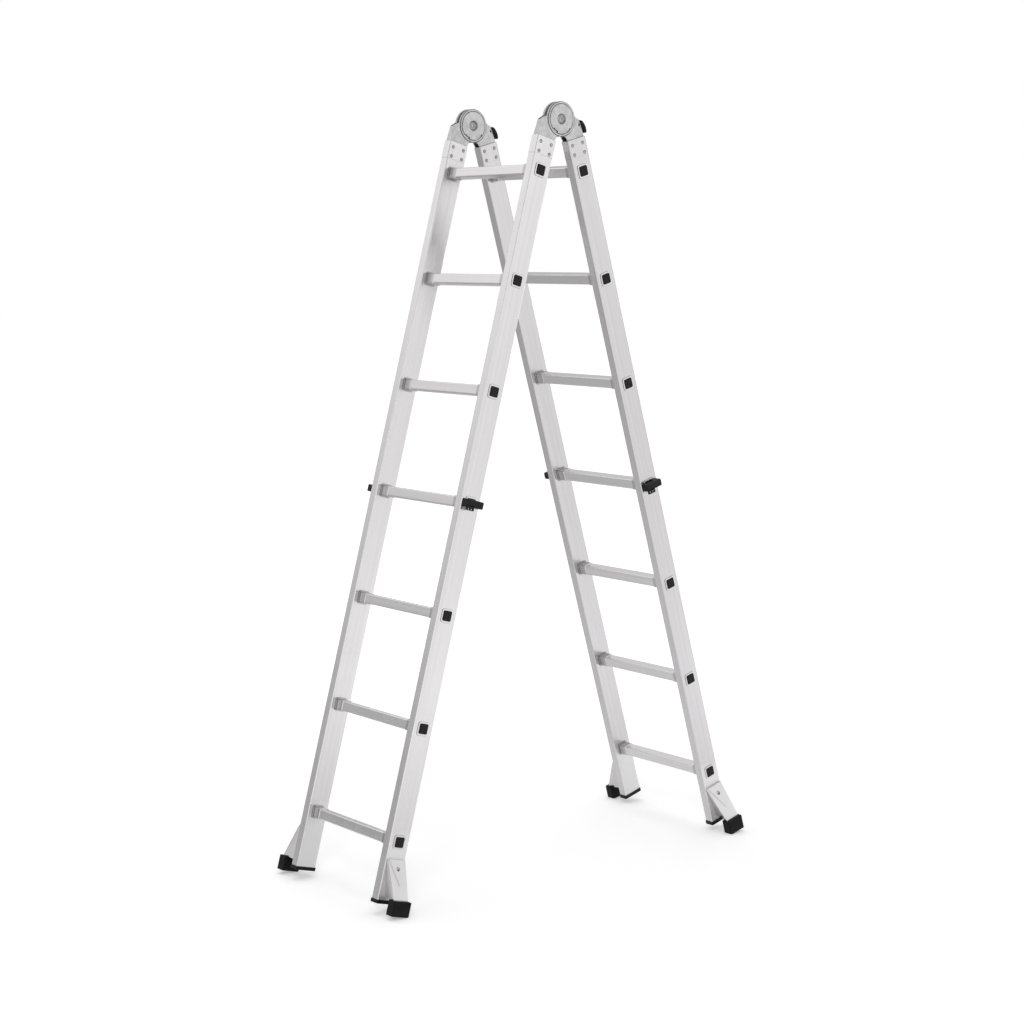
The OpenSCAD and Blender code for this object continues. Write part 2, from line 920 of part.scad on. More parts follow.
// Release lever: curved blade outside, root through the wall, arm into the pawl
module release_lever(side) {
    arm_t = 2 * lever_tip_r;
    root_t = 9;
    blade_corner = 3;
    end_step = 0.7;
    blade_end = blade_start + blade_sweep;
    top_at = blade_centre + blade_mid * [cos(blade_start), sin(blade_start)];
    end_at = blade_centre + blade_mid * [cos(blade_end), sin(blade_end)];
    color(black)
        at_hinge(side) {
            translate([blade_centre[0], 0, blade_centre[1]])
                rotate([90, 0, 0])
                    rotate([0, 0, blade_start])
                        rotate_extrude(angle = blade_sweep)
                            translate([blade_mid, 0])
                                round_rect(lever_t, lever_w, blade_corner);
            translate([end_at[0], 0, end_at[1]])
                bar_y(lever_t / 2 - end_step, -lever_w / 2 + 2 * end_step, lever_w / 2 - 2 * end_step);
            slab(-lever_root_half, lever_root_half)
                bar_between(top_at, lever_pin, root_t);
            slab(-lever_root_half, lever_root_half)
                bar_between(lever_pin, link_at, arm_t);
            translate([lever_pin[0], 0, lever_pin[1]])
                bar_y(trunnion_r, -edge_half, edge_half);
        }
}

// Flat bar with round ends from one point to another
module bar_between(from, to, w) {
    run = to - from;
    translate(from)
        rotate(atan2(run[1], run[0]))
            translate([0, -w / 2])
                square([norm(run), w]);
    translate(from)
        circle(w / 2);
    translate(to)
        circle(w / 2);
}

// Tubular rivets through the mouths of one leg's stiles
module hinge_rivets() {
    color(zinc)
        for (side = [-1, 1])
            translate([-leg_offset, side * stile_y, 0])
                hinge_rivet_places()
                    tube_rivet(stile_thick / 2 + mouth_swell, rivet_r, rivet_head_r);
}

// Frame at a rung lock: X to the viewer's right, Y outwards, Z up, on the outer stile face
module at_lock(side, axis_x) {
    translate([axis_x, side * outer_y, -rung_at(lock_rung)])
        rotate([0, 0, side > 0 ? 180 : 0])
            mirror([0, 1, 0])
                children();
}

// Side outline of the lock housing, a little lower at its right end
module lock_outline(inset) {
    r = 2;
    left = -lock_left + inset;
    right = lock_len - lock_left - inset;
    tall = lock_h / 2 - inset;
    low = lock_h / 2 - lock_taper - inset;
    hull()
        for (p = [[left, tall], [left, -tall], [right, low], [right, -low]])
            translate([p[0] - sign(p[0]) * r, p[1] - sign(p[1]) * r])
                circle(r, $fn = hull_fn);
}

// Moulded lock housing with a spigot in the rung end
module lock_housing(side, axis_x) {
    round_in = 1.2;
    round_out = 2;
    lip_play = 0.2;
    lip_size = rung_size + 2 * rung_lip + 2 * lip_play;
    spigot = rung_bore - 2 * plug_fit;
    cavity_left = grip_left - grip_play;
    cavity_right = yoke_right + yoke_play;
    cavity_half = lock_h / 2 - lock_wall;
    back = rung_lip_t + lip_play + 1;
    color(black)
        at_lock(side, axis_x)
            difference() {
                union() {
                    hull() {
                        slab(0, lock_out - round_out)
                            lock_outline(0);
                        slab(0, lock_out)
                            lock_outline(round_in);
                    }
                    slab(-spigot_depth, back)
                        round_rect(spigot, spigot, rung_bore_corner);
                }
                difference() {
                    slab(-1, rung_lip_t + lip_play)
                        round_rect(lip_size, lip_size, rung_corner + rung_lip);
                    slab(-2, rung_lip_t + lip_play + 1)
                        round_rect(spigot, spigot, rung_bore_corner);
                }
                translate([cavity_left, back, -cavity_half])
                    cube([cavity_right - cavity_left, lock_front - back, 2 * cavity_half]);
                translate([cavity_left, yoke_in - grip_play, -lock_h])
                    cube([grip_w + 2 * grip_play, lock_out, lock_h - cavity_half + 1]);
                bar_y(bolt_r + bolt_play, -spigot_depth - 1, back + 1);
            }
}

// Lock bolt, its yoke inside the housing and the pull grip below it
module lock_bolt(side, axis_x) {
    yoke_half = lock_h / 2 - lock_wall - grip_play;
    grip_low = -lock_h / 2 - grip_drop;
    arm_low = -lock_h / 2;
    arm_high = arm_low + lock_wall - grip_play;
    window_w = 6.5;
    window_h = 4.5;
    window_gap = 3;
    window_low = grip_low + 2;
    color(black)
        at_lock(side, axis_x)
            difference() {
                union() {
                    bar_y(bolt_r, -bolt_tip, yoke_in + yoke_t);
                    translate([grip_left, yoke_in, -yoke_half])
                        cube([yoke_right - grip_left, yoke_t, 2 * yoke_half]);
                    translate([grip_left, yoke_in, arm_low])
                        cube([grip_w, yoke_t, -arm_low - yoke_half + 1]);
                    translate([grip_left, yoke_in, arm_low])
                        cube([grip_w, grip_out - yoke_in, arm_high - arm_low]);
                    translate([grip_left, grip_out - grip_t, grip_low])
                        cube([grip_w, grip_t, arm_high - grip_low]);
                }
                for (i = [0, 1])
                    translate([grip_left + window_gap + i * (window_w + window_gap), 0, window_low])
                        cube([window_w, lock_out + grip_t, window_h]);
            }
}

// Springs behind the yokes of one leg's locks
module lock_springs(axis_x) {
    seat_gap = 0.2;
    color(zinc)
        for (side = [-1, 1])
            at_lock(side, axis_x)
                translate([0, yoke_in + yoke_t + seat_gap, 0])
                    rotate([-90, 0, 0])
                        coil(4, 1, lock_front - yoke_in - yoke_t - 2 * seat_gap, 3);
}

on_front() stile(1);  // front_left_stile
on_front() stile(-1);  // front_right_stile
on_rear() stile(1);  // rear_left_stile
on_rear() stile(-1);  // rear_right_stile
on_front() rung(1);  // front_rung_1
on_front() rung(2);  // front_rung_2
on_front() rung(3);  // front_rung_3
on_front() rung(4);  // front_rung_4
on_front() rung(5);  // front_rung_5
on_front() rung(6);  // front_rung_6
on_front() rung(7);  // front_rung_7
on_rear() rung(1);  // rear_rung_1
on_rear() rung(2);  // rear_rung_2
on_rear() rung(3);  // rear_rung_3
on_rear() rung(4);  // rear_rung_4
on_rear() rung(5);  // rear_rung_5
on_rear() rung(6);  // rear_rung_6
on_rear() rung(7);  // rear_rung_7
on_front() rung_plugs();  // front_rung_plugs
on_rear() rung_plugs();  // rear_rung_plugs
on_front() stile_end_caps();  // front_stile_end_caps
on_rear() stile_end_caps();  // rear_stile_end_caps
on_front() foot_plate(1);  // front_left_foot_plate
on_front() foot_plate(-1);  // front_right_foot_plate
on_rear() foot_plate(1);  // rear_left_foot_plate
on_rear() foot_plate(-1);  // rear_right_foot_plate
front_shoe(1);  // front_left_shoe
front_shoe(-1);  // front_right_shoe
rear_shoe(1);  // rear_left_shoe
rear_shoe(-1);  // rear_right_shoe
on_front() foot_rivets();  // front_foot_rivets
on_rear() foot_rivets();  // rear_foot_rivets
on_front() hinge_front_half(1);  // left_hinge_front_half
on_front() hinge_front_half(-1);  // right_hinge_front_half
on_rear() hinge_rear_half(1);  // left_hinge_rear_half
on_rear() hinge_rear_half(-1);  // right_hinge_rear_half
on_front() hinge_covers(1);  // left_hinge_covers
on_front() hinge_covers(-1);  // right_hinge_covers
on_front() hinge_pivot(1);  // left_hinge_pivot
on_front() hinge_pivot(-1);  // right_hinge_pivot
on_front() lock_disc(1);  // left_lock_disc
on_front() lock_disc(-1);  // right_lock_disc
on_rear() pawl(1);  // left_pawl
on_rear() pawl(-1);  // right_pawl
on_rear() pawl_spring(1);  // left_pawl_spring
on_rear() pawl_spring(-1);  // right_pawl_spring
on_rear() release_lever(1);  // left_release_lever
on_rear() release_lever(-1);  // right_release_lever
on_front() hinge_rivets();  // front_hinge_rivets
on_rear() hinge_rivets();  // rear_hinge_rivets
on_front() lock_housing(1, -leg_offset);  // front_left_lock_housing
on_front() lock_housing(-1, -leg_offset);  // front_right_lock_housing
on_rear_plain() lock_housing(1, leg_offset);  // rear_left_lock_housing
on_rear_plain() lock_housing(-1, leg_offset);  // rear_right_lock_housing
on_front() lock_bolt(1, -leg_offset);  // front_left_lock_bolt
on_front() lock_bolt(-1, -leg_offset);  // front_right_lock_bolt
on_rear_plain() lock_bolt(1, leg_offset);  // rear_left_lock_bolt
on_rear_plain() lock_bolt(-1, leg_offset);  // rear_right_lock_bolt
on_front() lock_springs(-leg_offset);  // front_lock_springs
on_rear_plain() lock_springs(leg_offset);  // rear_lock_springs
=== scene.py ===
import bmesh
import bpy
import math
from mathutils import Matrix, Vector


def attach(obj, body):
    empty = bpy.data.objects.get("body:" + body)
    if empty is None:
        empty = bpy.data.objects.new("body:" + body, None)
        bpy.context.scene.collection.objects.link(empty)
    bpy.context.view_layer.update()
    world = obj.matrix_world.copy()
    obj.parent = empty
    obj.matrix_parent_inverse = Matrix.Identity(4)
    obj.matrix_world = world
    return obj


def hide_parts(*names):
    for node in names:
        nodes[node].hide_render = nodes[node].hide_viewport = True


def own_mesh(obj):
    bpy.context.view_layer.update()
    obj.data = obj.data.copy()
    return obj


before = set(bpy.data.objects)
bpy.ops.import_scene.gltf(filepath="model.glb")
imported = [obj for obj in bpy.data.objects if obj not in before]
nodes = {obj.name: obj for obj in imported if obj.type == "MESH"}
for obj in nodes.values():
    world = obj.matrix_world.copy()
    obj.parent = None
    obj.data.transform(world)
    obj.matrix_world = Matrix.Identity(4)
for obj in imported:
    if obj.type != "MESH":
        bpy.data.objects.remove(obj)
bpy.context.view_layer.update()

MM = 0.001
LEGS = ("front", "rear")
SIDES = ("left", "right")
# The side of the middle plane that left and right lie on
HANDS = (1, -1)
RUNGS = range(1, 8)
# Lean of each leg from upright
LEAN = math.radians(15.7)

# A rung's collars: distances from the middle plane, length of the slope, soft edge of their
# painted shade, and the section left between them
COLLAR_START = 138 * MM
COLLAR_END = 166 * MM
COLLAR_SLOPE = 1.2 * MM
COLLAR_EDGE = 1.5 * MM
RUNG_DRAW = 0.92
# Near the floor: roughness that scuffing adds, and how much of the painted shade in the corners is
# lifted
SCUFF_DULL = 0.3
FLOOR_SHADE_LIFT = 0.92

# Limits for work on meshes: points that are one, facets that are one face, edges that get
# broken, edges without length, and points that lie on a cut
SAME_POINT = 0.004 * MM
SAME_FACE = math.radians(0.5)
SHARP = math.radians(35)
NO_LENGTH = 0.001 * MM
ON_CUT = 0.01 * MM

# Rays that look for the corners that get painted shade
CORNER_RAYS = 8
# A Mix node's sockets by number, because several share a name
FACTOR = 0
VALUE_A = 2
VALUE_B = 3
COLOUR_A = 6
COLOUR_B = 7
MIXED_COLOUR = 2

# Level directions: to the brighter half of the studio at the front right, to the near side, and
# to the far right
BRIGHT_SIDE = (0.63, -0.78, 0.0)
NEAR_SIDE = (-0.66, -0.75, 0.0)
FAR_SIDE = (0.9, 0.44, 0.0)
FLOOR_REACH = 40.0

# The fitted camera: focal length and picture in pixels, film in mm, angles in degrees, place in m
FOCAL_PIXELS = 2059.0
PICTURE_PIXELS = 1024
FILM_WIDTH = 36.0
CAMERA_TURN = (38.9, 7.393, -0.368)
CAMERA_PLACE = (-3.3516, -4.1375, 1.6026)
CAMERA_SIGHT = 100.0


# Small helpers

def linear(hex_colour):
    """An sRGB hex colour as the linear RGBA that a node socket takes."""
    parts = [int(hex_colour[i:i + 2], 16) / 255 for i in (1, 3, 5)]
    return [c / 12.92 if c <= 0.04045 else ((c + 0.055) / 1.055) ** 2.4 for c in parts] + [1.0]


def add(tree, kind, inputs=None, **settings):
    """Adds a node with its settings; an input is a value or the socket that feeds it."""
    node = tree.nodes.new(kind)
    for name, value in settings.items():
        setattr(node, name, value)
    for name, value in (inputs or {}).items():
        if isinstance(value, bpy.types.NodeSocket):
            tree.links.new(value, node.inputs[name])
        else:
            node.inputs[name].default_value = value
    return node


def new_material(name):
    """A material with no nodes yet, and its tree."""
    material = bpy.data.materials.new(name)
    material.use_nodes = True
    tree = material.node_tree
    tree.nodes.clear()
    return material, tree


# Materials

def mill_aluminium(name, turn, tones, collar=None):
    """Extruded aluminium as it leaves the die: bright grey, with fine lines along the length
    that spread reflections sideways, and a cloudy bloom from handling. turn is the rotation
    that brings the pattern's Z onto the length of the extrusion, and tones are the darkest and
    brightest of its bands. With collar given, the metal within it, a span of distances from the
    middle plane, is painted darker as painted shade at the rung ends, and the underside of the
    whole piece is painted darker as painted shade. Without it the finish is that of a stile or
    foot plate, scuffed dull near the floor, where the broad faces are painted lighter as
    painted light and the painted shade in the corners is mostly lifted."""
    material, tree = new_material(name)
    coordinates = add(tree, "ShaderNodeTexCoord")
    place = coordinates.outputs["Object"]
    place_xyz = add(tree, "ShaderNodeSeparateXYZ", {"Vector": place})
    facing_xyz = add(tree, "ShaderNodeSeparateXYZ", {"Vector": coordinates.outputs["Normal"]})
    # Die lines about 0.9 mm apart, drawn a little coarse so that they show, and 300 mm long
    lines_at = add(tree, "ShaderNodeMapping", {
        "Vector": place, "Rotation": turn, "Scale": (0.9 * MM, 0.9 * MM, 300 * MM)},
        vector_type="TEXTURE")
    lines = add(tree, "ShaderNodeTexNoise", {
        "Vector": lines_at.outputs[0], "Scale": 1.0, "Detail": 2.0, "Roughness": 0.6})
    # Broader bands from the die's wear, 7 mm across and 1.2 m long
    bands_at = add(tree, "ShaderNodeMapping", {
        "Vector": place, "Rotation": turn, "Scale": (7 * MM, 7 * MM, 1200 * MM)},
        vector_type="TEXTURE")
    bands = add(tree, "ShaderNodeTexNoise", {
        "Vector": bands_at.outputs[0], "Scale": 1.0, "Detail": 3.0, "Roughness": 0.55})
    # Handling bloom in patches of 60 mm
    bloom = add(tree, "ShaderNodeTexNoise", {
        "Vector": place, "Scale": 1 / (60 * MM), "Detail": 5.0, "Roughness": 0.6})
    tone = add(tree, "ShaderNodeValToRGB", {"Fac": bands.outputs["Fac"]})
    tone.color_ramp.elements[0].position = 0.3
    tone.color_ramp.elements[0].color = linear(tones[0])
    tone.color_ramp.elements[1].position = 0.72
    tone.color_ramp.elements[1].color = linear(tones[1])
    colour = tone.outputs["Color"]
    # Painted shade: darker in the corners and around the rivet heads, where the AO finds them closed
    # in
    corners = add(tree, "ShaderNodeAmbientOcclusion", {"Distance": 2.5 * MM}, samples=CORNER_RAYS)
    corner_shade = add(tree, "ShaderNodeMapRange", {
        "Value": corners.outputs["AO"],
        "From Min": 0.4, "From Max": 0.9, "To Min": 0.1, "To Max": 1.0})
    unshaded = corner_shade.outputs[0]
    # Cloudy where handled, and streaked along the die lines
    dull = add(tree, "ShaderNodeMapRange", {
        "Value": bloom.outputs["Fac"],
        "From Min": 0.3, "From Max": 0.7, "To Min": 0.19, "To Max": 0.26})
    streak = add(tree, "ShaderNodeMapRange", {
        "Value": lines.outputs["Fac"],
        "From Min": 0.3, "From Max": 0.7, "To Min": -0.04, "To Max": 0.05})
    rough = add(tree, "ShaderNodeMath", {0: dull.outputs[0], 1: streak.outputs[0]}, operation="ADD")
    if collar:
        inner, outer = collar
        # Painted shade on the collars near the rung ends: the metal within them is darker
        out = add(tree, "ShaderNodeMath", {0: place_xyz.outputs["Y"]}, operation="ABSOLUTE")
        begun = add(tree, "ShaderNodeMapRange", {
            "Value": out.outputs[0], "From Min": inner, "From Max": inner + COLLAR_EDGE})
        ended = add(tree, "ShaderNodeMapRange", {
            "Value": out.outputs[0],
            "From Min": outer, "From Max": outer + COLLAR_EDGE, "To Min": 1.0, "To Max": 0.0})
        collar_shade = add(tree, "ShaderNodeMath", {
            0: begun.outputs[0], 1: ended.outputs[0]}, operation="MULTIPLY")
        darkened = add(tree, "ShaderNodeMix", {
            FACTOR: collar_shade.outputs[0], COLOUR_A: colour, COLOUR_B: linear("#BBBABB")},
            data_type="RGBA")
        # Painted shade: the faces turned down are a darker grey
        under = add(tree, "ShaderNodeMapRange", {
            "Value": facing_xyz.outputs["Z"],
            "From Min": -0.85, "From Max": -0.5, "To Min": 1.0, "To Max": 0.0})
        underside_shaded = add(tree, "ShaderNodeMix", {
            FACTOR: under.outputs[0], COLOUR_A: darkened.outputs[MIXED_COLOUR],
            COLOUR_B: linear("#A9A8A9")}, data_type="RGBA")
        colour = underside_shaded.outputs[MIXED_COLOUR]
    else:
        # Near the floor the broad faces are scuffed dull and painted lighter as painted light, and the
        # painted shade in the corners is mostly lifted there
        low = add(tree, "ShaderNodeMapRange", {
            "Value": place_xyz.outputs["Z"],
            "From Min": 165 * MM, "From Max": 195 * MM, "To Min": 1.0, "To Max": 0.0})
        flat = add(tree, "ShaderNodeMath", {0: facing_xyz.outputs["Y"]}, operation="ABSOLUTE")
        broad = add(tree, "ShaderNodeMapRange", {
            "Value": flat.outputs[0], "From Min": 0.35, "From Max": 0.6})
        scuff_and_painted_light = add(tree, "ShaderNodeMath", {
            0: low.outputs[0], 1: broad.outputs[0]}, operation="MULTIPLY")
        brightened = add(tree, "ShaderNodeMix", {
            FACTOR: scuff_and_painted_light.outputs[0], COLOUR_A: colour, COLOUR_B: linear("#E8E7E7")},
            data_type="RGBA")
        colour = brightened.outputs[MIXED_COLOUR]
        shade_lifted = add(tree, "ShaderNodeMath", {0: low.outputs[0], 1: FLOOR_SHADE_LIFT}, operation="MULTIPLY")
        less_shaded = add(tree, "ShaderNodeMath", {0: unshaded, 1: shade_lifted.outputs[0]}, operation="MAXIMUM")
        unshaded = less_shaded.outputs[0]
        rough = add(tree, "ShaderNodeMath", {
            0: scuff_and_painted_light.outputs[0], 1: SCUFF_DULL, 2: rough.outputs[0]}, operation="MULTIPLY_ADD")
    # The painted shade darkens the colour where the corners are closed in
    shaded_colour = add(tree, "ShaderNodeMix", {
        FACTOR: unshaded, COLOUR_A: linear("#5C5D5F"), COLOUR_B: colour}, data_type="RGBA")
    relief = add(tree, "ShaderNodeBump", {
        "Height": lines.outputs["Fac"], "Strength": 0.3, "Distance": 0.02 * MM})
    shader = add(tree, "ShaderNodeBsdfPrincipled", {
        "Base Color": shaded_colour.outputs[MIXED_COLOUR], "Metallic": 1.0, "Roughness": rough.outputs[0],
        "Normal": relief.outputs[0]})
    add(tree, "ShaderNodeOutputMaterial", {"Surface": shader.outputs[0]})
    return material


def zinc_plated_steel(name, shade_slopes):
    """Steel, zinc plated and clear passivated: a cool grey with a soft mottle of crystals and a
    slight roll of the surface from the press. When its slopes are to be shaded, they are painted
    darker than the flats across Y, as painted shade on the dishes and rivet heads."""
    material, tree = new_material(name)
    place = add(tree, "ShaderNodeTexCoord").outputs["Object"]
    # Crystal mottle in grains of 2.5 mm
    grains = add(tree, "ShaderNodeTexVoronoi", {
        "Vector": place, "Scale": 1 / (2.5 * MM), "Randomness": 1.0}, feature="SMOOTH_F1")
    # Cloud of the passivation, 14 mm across
    cloud = add(tree, "ShaderNodeTexNoise", {
        "Vector": place, "Scale": 1 / (14 * MM), "Detail": 4.0, "Roughness": 0.6})
    tone = add(tree, "ShaderNodeValToRGB", {"Fac": cloud.outputs["Fac"]})
    tone.color_ramp.elements[0].position = 0.32
    tone.color_ramp.elements[0].color = linear("#B9B9BA")
    tone.color_ramp.elements[1].position = 0.7
    tone.color_ramp.elements[1].color = linear("#D3D3D3")
    # Painted shade: darker in the grooves, slots and rivet seats, where the AO finds them closed in
    corners = add(tree, "ShaderNodeAmbientOcclusion", {"Distance": 5 * MM}, samples=CORNER_RAYS)
    corner_shade = add(tree, "ShaderNodeMapRange", {
        "Value": corners.outputs["AO"],
        "From Min": 0.3, "From Max": 0.85, "To Min": 0.0, "To Max": 1.0})
    unshaded = corner_shade.outputs[0]
    # Painted shade on the slopes: faces turned away from Y are darker than the flats
    if shade_slopes:
        normal = add(tree, "ShaderNodeNewGeometry").outputs["Normal"]
        across = add(tree, "ShaderNodeSeparateXYZ", {"Vector": normal}).outputs["Y"]
        flat = add(tree, "ShaderNodeMath", {0: across}, operation="ABSOLUTE")
        crown = add(tree, "ShaderNodeMapRange", {
            "Value": flat.outputs[0],
            "From Min": 0.68, "From Max": 0.96, "To Min": 0.05, "To Max": 1.0})
        slope_shade = add(tree, "ShaderNodeMath", {0: unshaded, 1: crown.outputs[0]}, operation="MULTIPLY")
        unshaded = slope_shade.outputs[0]
    # The painted shade darkens the colour where it falls
    shaded_colour = add(tree, "ShaderNodeMix", {
        FACTOR: unshaded, COLOUR_A: linear("#3E3E3F"), COLOUR_B: tone.outputs["Color"]},
        data_type="RGBA")
    rough = add(tree, "ShaderNodeMapRange", {
        "Value": grains.outputs["Distance"],
        "From Min": 0.1, "From Max": 0.7, "To Min": 0.36, "To Max": 0.48})
    relief = add(tree, "ShaderNodeBump", {
        "Height": cloud.outputs["Fac"], "Strength": 0.25, "Distance": 0.15 * MM})
    shader = add(tree, "ShaderNodeBsdfPrincipled", {
        "Base Color": shaded_colour.outputs[MIXED_COLOUR], "Metallic": 1.0, "Roughness": rough.outputs[0],
        "Normal": relief.outputs[0]})
    add(tree, "ShaderNodeOutputMaterial", {"Surface": shader.outputs[0]})
    return material


def moulded_nylon():
    """Black glass-filled nylon from a spark-eroded mould: a fine even grain that breaks
    highlights into a soft sheen, with a faint grey bloom."""
    material, tree = new_material("moulded_black_nylon")
    place = add(tree, "ShaderNodeTexCoord").outputs["Object"]
    # Mould grain of 0.5 mm
    grain = add(tree, "ShaderNodeTexNoise", {
        "Vector": place, "Scale": 1 / (0.5 * MM), "Detail": 2.0, "Roughness": 0.5})
    # Bloom in clouds of 12 mm
    bloom = add(tree, "ShaderNodeTexNoise", {
        "Vector": place, "Scale": 1 / (12 * MM), "Detail": 4.0, "Roughness": 0.6})
    tone = add(tree, "ShaderNodeValToRGB", {"Fac": bloom.outputs["Fac"]})
    tone.color_ramp.elements[0].position = 0.3
    tone.color_ramp.elements[0].color = linear("#0B0B0C")
    tone.color_ramp.elements[1].position = 0.75
    tone.color_ramp.elements[1].color = linear("#171718")
    rough = add(tree, "ShaderNodeMapRange", {
        "Value": bloom.outputs["Fac"],
        "From Min": 0.3, "From Max": 0.7, "To Min": 0.36, "To Max": 0.5})
    relief = add(tree, "ShaderNodeBump", {
        "Height": grain.outputs["Fac"], "Strength": 0.3, "Distance": 0.05 * MM})
    shader = add(tree, "ShaderNodeBsdfPrincipled", {
        "Base Color": tone.outputs["Color"], "Roughness": rough.outputs[0],
        "Specular IOR Level": 0.22, "Normal": relief.outputs[0]})
    add(tree, "ShaderNodeOutputMaterial", {"Surface": shader.outputs[0]})
    return material


def moulded_rubber():
    """Black moulded rubber: dull, with a slight unevenness and a trace of floor dust that
    greys it towards the sole."""
    material, tree = new_material("moulded_black_rubber")
    place = add(tree, "ShaderNodeTexCoord").outputs["Object"]
    height = add(tree, "ShaderNodeSeparateXYZ", {"Vector": place}).outputs["Z"]
    # Dust in clouds of 9 mm, nearly gone 30 mm above the floor
    cloud = add(tree, "ShaderNodeTexNoise", {
        "Vector": place, "Scale": 1 / (9 * MM), "Detail": 5.0, "Roughness": 0.65})
    low = add(tree, "ShaderNodeMapRange", {
        "Value": height, "From Min": 0.0, "From Max": 30 * MM, "To Min": 0.75, "To Max": 0.12})
    dust = add(tree, "ShaderNodeMath", {
        0: cloud.outputs["Fac"], 1: low.outputs[0]}, operation="MULTIPLY")
    tone = add(tree, "ShaderNodeValToRGB", {"Fac": dust.outputs[0]})
    tone.color_ramp.elements[0].position = 0.05
    tone.color_ramp.elements[0].color = linear("#0C0C0C")
    tone.color_ramp.elements[1].position = 0.55
    tone.color_ramp.elements[1].color = linear("#262625")
    # Skin of the mould, 0.8 mm
    skin = add(tree, "ShaderNodeTexNoise", {
        "Vector": place, "Scale": 1 / (0.8 * MM), "Detail": 3.0, "Roughness": 0.55})
    rough = add(tree, "ShaderNodeMapRange", {
        "Value": cloud.outputs["Fac"],
        "From Min": 0.3, "From Max": 0.7, "To Min": 0.58, "To Max": 0.78})
    relief = add(tree, "ShaderNodeBump", {
        "Height": skin.outputs["Fac"], "Strength": 0.35, "Distance": 0.08 * MM})
    shader = add(tree, "ShaderNodeBsdfPrincipled", {
        "Base Color": tone.outputs["Color"], "Roughness": rough.outputs[0],
        "Specular IOR Level": 0.2, "Normal": relief.outputs[0]})
    add(tree, "ShaderNodeOutputMaterial", {"Surface": shader.outputs[0]})
    return material


BRIGHT_TONES = ("#D7D5D6", "#DFDDDE")
# The rear stiles are painted a shade darker than the front ones, as painted shade
SHADED_REAR_TONES = ("#CDCBCC", "#D5D3D4")
STILE_METAL = {
    "front": mill_aluminium("mill_aluminium_front_leg", (0, LEAN, 0), BRIGHT_TONES),
    "rear": mill_aluminium("mill_aluminium_rear_leg", (0, -LEAN, 0), SHADED_REAR_TONES),
}
RUNG_METAL = mill_aluminium(
    "mill_aluminium_rungs", (math.pi / 2, 0, 0), BRIGHT_TONES, (COLLAR_START, COLLAR_END))
ZINC = zinc_plated_steel("zinc_plated_pressed_steel", shade_slopes=False)
# A copy whose slopes get painted shade, for the rivets, pivots and covers
SLOPE_SHADED_ZINC = zinc_plated_steel("zinc_plated_steel_slope_shaded", shade_slopes=True)
NYLON = moulded_nylon()
RUBBER = moulded_rubber()


# Pieces

def dress(name, material):
    """Gives a CAD node its finish."""
    node = nodes[name]
    node.data.materials.clear()
    node.data.materials.append(material)


def merged_copy(name):
    """A node's shape with its loose triangles joined, ready to be worked on."""
    bm = bmesh.new()
    bm.from_mesh(nodes[name].data)
    bmesh.ops.remove_doubles(bm, verts=bm.verts, dist=SAME_POINT)
    return bm


def make_piece(name, bm, material, node, body):
    """Makes a piece of a worked shape. It rides on the body and stands for the node."""
    for face in bm.faces:
        face.smooth = True
    mesh = bpy.data.meshes.new(name)
    bm.to_mesh(mesh)
    bm.free()
    mesh.materials.append(material)
    piece = bpy.data.objects.new(name, mesh)
    bpy.context.collection.objects.link(piece)
    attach(piece, body)
    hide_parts(node)
    return piece


def draw_down(bm):
    """Draws a rung down between its collars, which keep the full section."""
    along = Vector((0, 1, 0))
    for place in (COLLAR_START, COLLAR_START - COLLAR_SLOPE):
        for hand in HANDS:
            bmesh.ops.bisect_plane(
                bm, geom=bm.verts[:] + bm.edges[:] + bm.faces[:], dist=ON_CUT,
                plane_co=along * place * hand, plane_no=along)
    between = [v for v in bm.verts if abs(v.co.y) < COLLAR_START - COLLAR_SLOPE / 2]
    # Across the rung, along X and along Z
    for axis in (0, 2):
        places = [v.co[axis] for v in bm.verts]
        middle = (min(places) + max(places)) / 2
        for vert in between:
            vert.co[axis] = middle + RUNG_DRAW * (vert.co[axis] - middle)


def soften(name, body, material, width, steps=2, drawn=False):
    """A node's shape with its edges broken by a small radius, as pressing, moulding or
    deburring leaves them. A rung is first drawn down."""
    bm = merged_copy(name)
    bmesh.ops.dissolve_limit(
        bm, angle_limit=SAME_FACE, use_dissolve_boundaries=False, verts=bm.verts, edges=bm.edges)
    if drawn:
        draw_down(bm)
    edges = [e for e in bm.edges if e.is_manifold and e.calc_face_angle(0) > SHARP]
    bmesh.ops.bevel(
        bm, geom=edges, offset=width, offset_type="OFFSET", segments=steps, profile=0.5,
        affect="EDGES", clamp_overlap=True, material=-1)
    bmesh.ops.dissolve_degenerate(bm, dist=NO_LENGTH, edges=bm.edges)
    for edge in bm.edges:
        edge.smooth = edge.calc_face_angle(0) < SHARP
    piece = make_piece(name + "_softened", bm, material, name, body)
    weighted = piece.modifiers.new("weighted_normals", "WEIGHTED_NORMAL")
    weighted.keep_sharp = True


def coil(name, node, body, hand=0):
    """A coil spring that rides on the body. With hand 1 or -1, only the node's spring on that
    side of the middle plane is taken."""
    bm = merged_copy(node)
    other = [v for v in bm.verts if v.co.y * hand < 0]
    bmesh.ops.delete(bm, geom=other, context="VERTS")
    piece = make_piece(name, bm, ZINC, node, body)
    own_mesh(piece)


